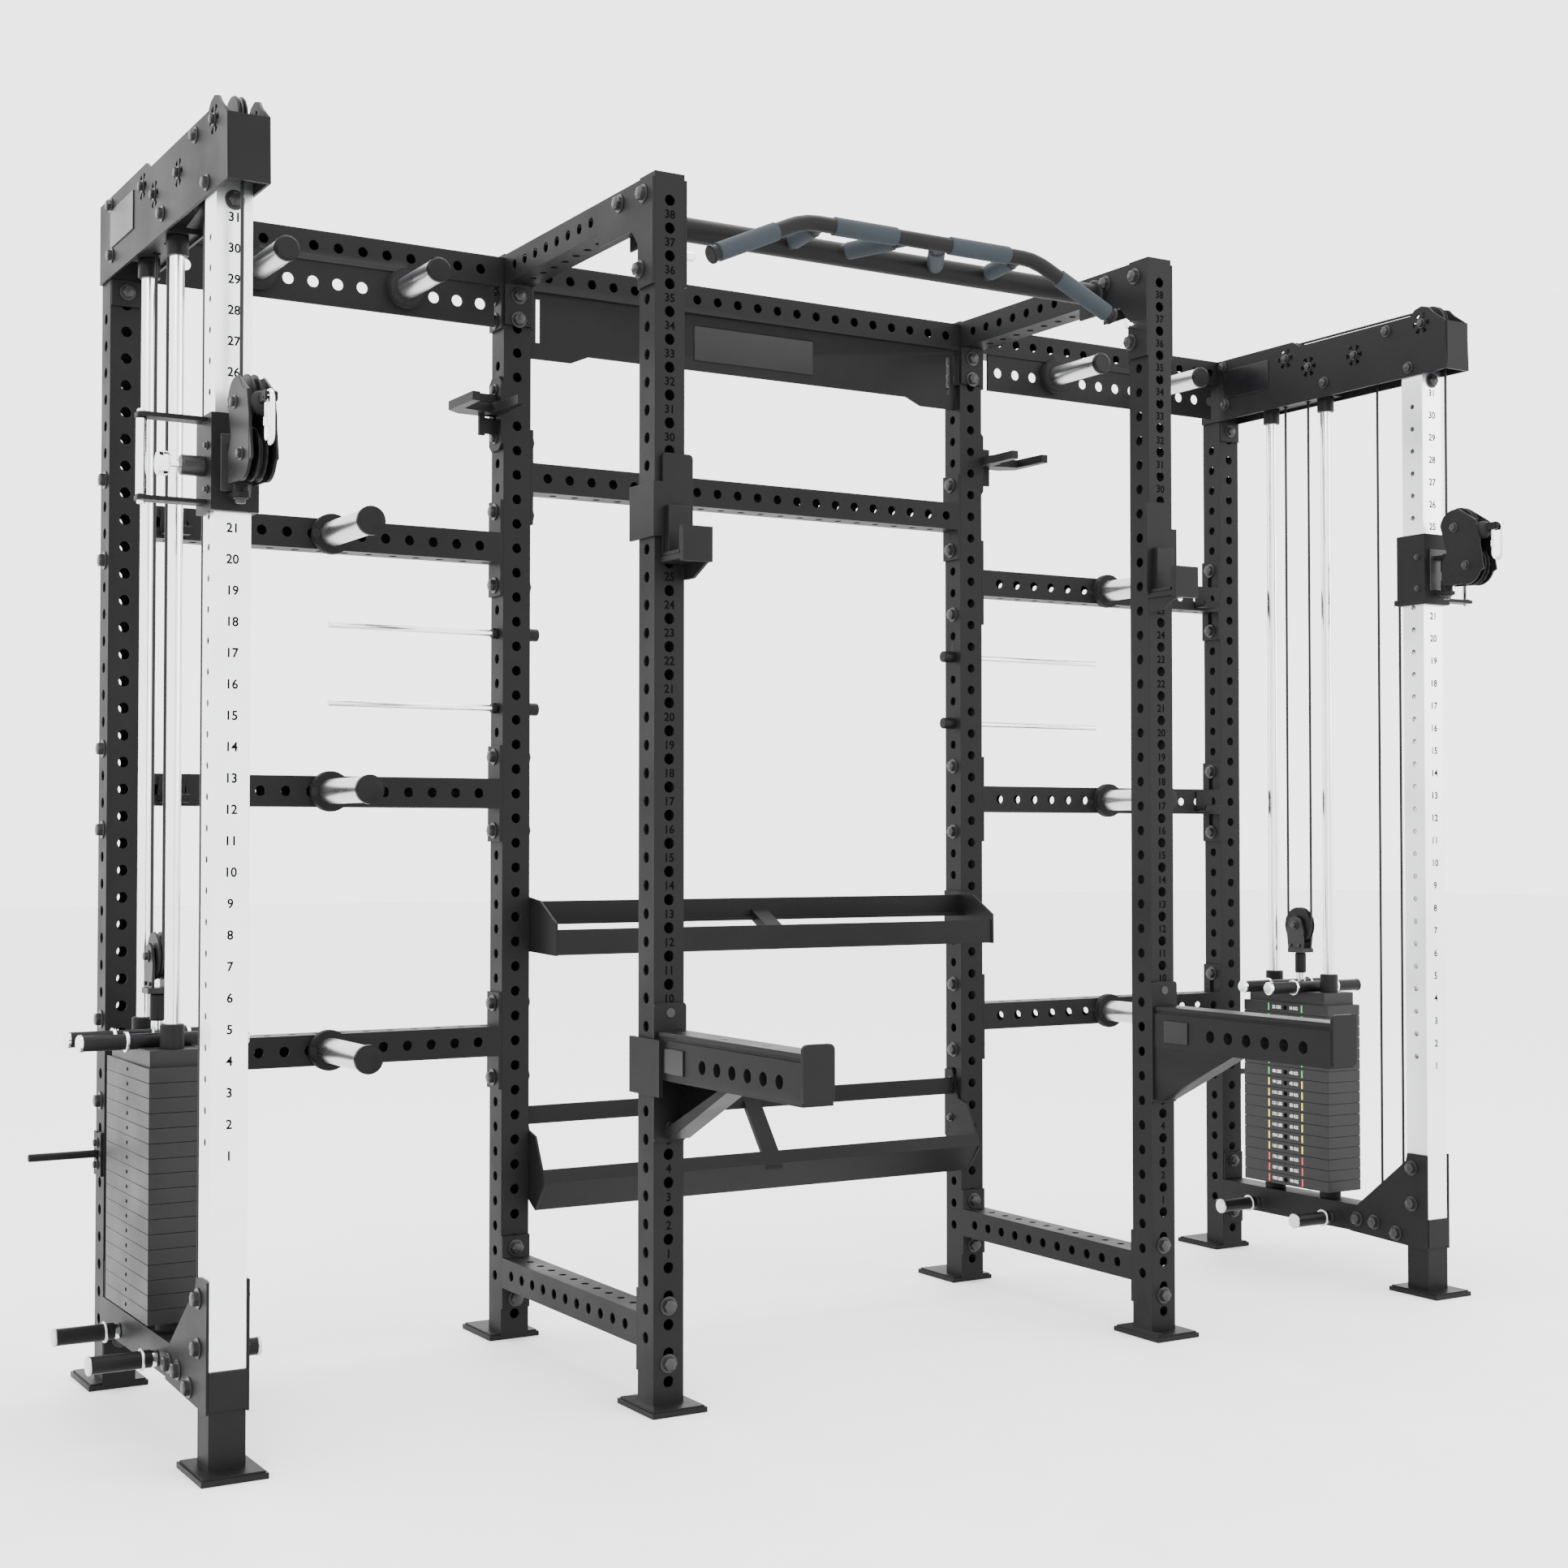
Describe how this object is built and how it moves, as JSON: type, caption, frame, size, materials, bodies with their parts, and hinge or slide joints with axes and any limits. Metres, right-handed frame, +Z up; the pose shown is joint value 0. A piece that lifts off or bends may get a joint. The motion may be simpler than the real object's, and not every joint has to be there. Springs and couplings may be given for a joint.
{
  "type": "cable crossover machine",
  "caption": "Power rack between cable towers: sliding cable carriages, weight stacks, storage wings, shelves, J-cups, spotter arms and pull-up bars.",
  "frame": {"origin": "centre of the footprint on the floor", "axes": "+X to the right of a user facing the rack, +Y towards the back of the rack, +Z up"},
  "size_m": [3.034, 1.306, 2.2],
  "materials": {
    "black": "textured matte powder coat",
    "chrome": "polished",
    "plastic": "satin",
    "cable": "smooth coat over steel rope"
  },
  "bodies": {
    "frame": {"upright_front_left": "black", "upright_front_right": "black", "upright_rear_left": "black", "upright_rear_right": "black", "upright_outer_left": "black", "upright_outer_right": "black", "guide_column_left": "chrome", "guide_column_right": "chrome", "column_base_left": "black", "column_base_right": "black", "pulley_housing_left": "black", "pulley_housing_right": "black", "header_beam": "black", "mid_crossbar": "black", "wing_top_beam_left": "black", "wing_top_beam_right": "black", "wing_crossbar_high_left": "black", "wing_crossbar_high_right": "black", "wing_crossbar_middle_left": "black", "wing_crossbar_middle_right": "black", "wing_crossbar_low_left": "black", "wing_crossbar_low_right": "black", "side_beam_top_left": "black", "side_beam_top_right": "black", "side_beam_bottom_left": "black", "side_beam_bottom_right": "black", "pull_up_bar": "black", "upper_shelf": "black", "lower_shelf": "black", "stack_plates_left": "black", "stack_plates_right": "black", "cable_front_left": "cable", "cable_front_right": "cable", "cable_lower_left": "cable", "cable_lower_right": "cable", "cable_stack_left": "cable", "cable_stack_right": "cable", "cable_fixed_left": "cable", "cable_fixed_right": "cable"},
    "stack_left": {"stack_head_left": "black"},
    "selector_left": {"selector_pin_left": "chrome"},
    "stack_wheel_left": {"stack_pulley_left": "plastic"},
    "carriage_left": {"carriage_left": "black"},
    "pop_pin_left": {"pop_pin_left": "chrome"},
    "swivel_left": {"swivel_bracket_left": "black"},
    "swivel_wheel_left": {"swivel_pulley_left": "plastic"},
    "carabiner_left": {"carabiner_left": "chrome"},
    "j_cup_left": {"j_cup_left": "black"},
    "spotter_left": {"spotter_arm_left": "black"},
    "stack_right": {"stack_head_right": "black"},
    "selector_right": {"selector_pin_right": "chrome"},
    "stack_wheel_right": {"stack_pulley_right": "plastic"},
    "carriage_right": {"carriage_right": "black"},
    "pop_pin_right": {"pop_pin_right": "chrome"},
    "swivel_right": {"swivel_bracket_right": "black"},
    "swivel_wheel_right": {"swivel_pulley_right": "plastic"},
    "carabiner_right": {"carabiner_right": "chrome"},
    "j_cup_right": {"j_cup_right": "black"},
    "spotter_right": {"spotter_arm_right": "black"}
  },
  "joints": [
    {"name": "carriage_slide_left", "type": "slide", "parent": "frame", "child": "carriage_left", "axis": [0, 0, 1], "range_m": [-1.1, 0.3], "deforming": ["cable_front_left", "cable_lower_left"]},
    {"name": "pop_pin_pull_left", "type": "slide", "parent": "carriage_left", "child": "pop_pin_left", "axis": [-1, 0, 0], "range_m": [0, 0.015], "stiffness_N_per_m": 400, "springref_m": -0.01},
    {"name": "swivel_turn_left", "type": "hinge", "parent": "carriage_left", "child": "swivel_left", "pos_m": [-1.359, -0.187, 1.6], "axis": [0, 0, 1], "range_deg": [-80, 80]},
    {"name": "swivel_wheel_spin_left", "type": "hinge", "parent": "swivel_left", "child": "swivel_wheel_left", "pos_m": [-1.359, -0.228, 1.691], "axis": [1, 0, 0], "continuous": true},
    {"name": "carabiner_swing_left", "type": "hinge", "parent": "swivel_left", "child": "carabiner_left", "pos_m": [-1.359, -0.33, 1.6826], "axis": [1, 0, 0], "range_deg": [-90, 8]},
    {"name": "stack_lift_left", "type": "slide", "parent": "frame", "child": "stack_left", "axis": [0, 0, 1], "range_m": [0, 1.1], "deforming": ["cable_stack_left"]},
    {"name": "selector_pull_left", "type": "slide", "parent": "stack_left", "child": "selector_left", "axis": [1, 0, 0], "range_m": [0, 0.12]},
    {"name": "stack_wheel_spin_left", "type": "hinge", "parent": "stack_left", "child": "stack_wheel_left", "pos_m": [-1.359, 0.275, 0.803], "axis": [1, 0, 0], "continuous": true},
    {"name": "j_cup_pull_left", "type": "slide", "parent": "frame", "child": "j_cup_left", "axis": [0, -1, 0], "range_m": [0, 0.1]},
    {"name": "spotter_pull_left", "type": "slide", "parent": "frame", "child": "spotter_left", "axis": [0, -1, 0], "range_m": [0, 0.1]},
    {"name": "carriage_slide_right", "type": "slide", "parent": "frame", "child": "carriage_right", "axis": [0, 0, 1], "range_m": [-1.1, 0.3], "deforming": ["cable_front_right", "cable_lower_right"]},
    {"name": "pop_pin_pull_right", "type": "slide", "parent": "carriage_right", "child": "pop_pin_right", "axis": [1, 0, 0], "range_m": [0, 0.015], "stiffness_N_per_m": 400, "springref_m": -0.01},
    {"name": "swivel_turn_right", "type": "hinge", "parent": "carriage_right", "child": "swivel_right", "pos_m": [1.359, -0.187, 1.6], "axis": [0, 0, 1], "range_deg": [-80, 80]},
    {"name": "swivel_wheel_spin_right", "type": "hinge", "parent": "swivel_right", "child": "swivel_wheel_right", "pos_m": [1.359, -0.228, 1.691], "axis": [1, 0, 0], "continuous": true},
    {"name": "carabiner_swing_right", "type": "hinge", "parent": "swivel_right", "child": "carabiner_right", "pos_m": [1.359, -0.33, 1.6826], "axis": [1, 0, 0], "range_deg": [-90, 8]},
    {"name": "stack_lift_right", "type": "slide", "parent": "frame", "child": "stack_right", "axis": [0, 0, 1], "range_m": [0, 1.1], "deforming": ["cable_stack_right"]},
    {"name": "selector_pull_right", "type": "slide", "parent": "stack_right", "child": "selector_right", "axis": [-1, 0, 0], "range_m": [0, 0.12]},
    {"name": "stack_wheel_spin_right", "type": "hinge", "parent": "stack_right", "child": "stack_wheel_right", "pos_m": [1.359, 0.275, 0.803], "axis": [1, 0, 0], "continuous": true},
    {"name": "j_cup_pull_right", "type": "slide", "parent": "frame", "child": "j_cup_right", "axis": [0, -1, 0], "range_m": [0, 0.1]},
    {"name": "spotter_pull_right", "type": "slide", "parent": "frame", "child": "spotter_right", "axis": [0, -1, 0], "range_m": [0, 0.1]}
  ],
  "couplings": [
    {"joint": "stack_wheel_spin_left", "follows": "stack_lift_left", "rad_per_m": 26.316},
    {"joint": "stack_wheel_spin_right", "follows": "stack_lift_right", "rad_per_m": 26.316}
  ]
}
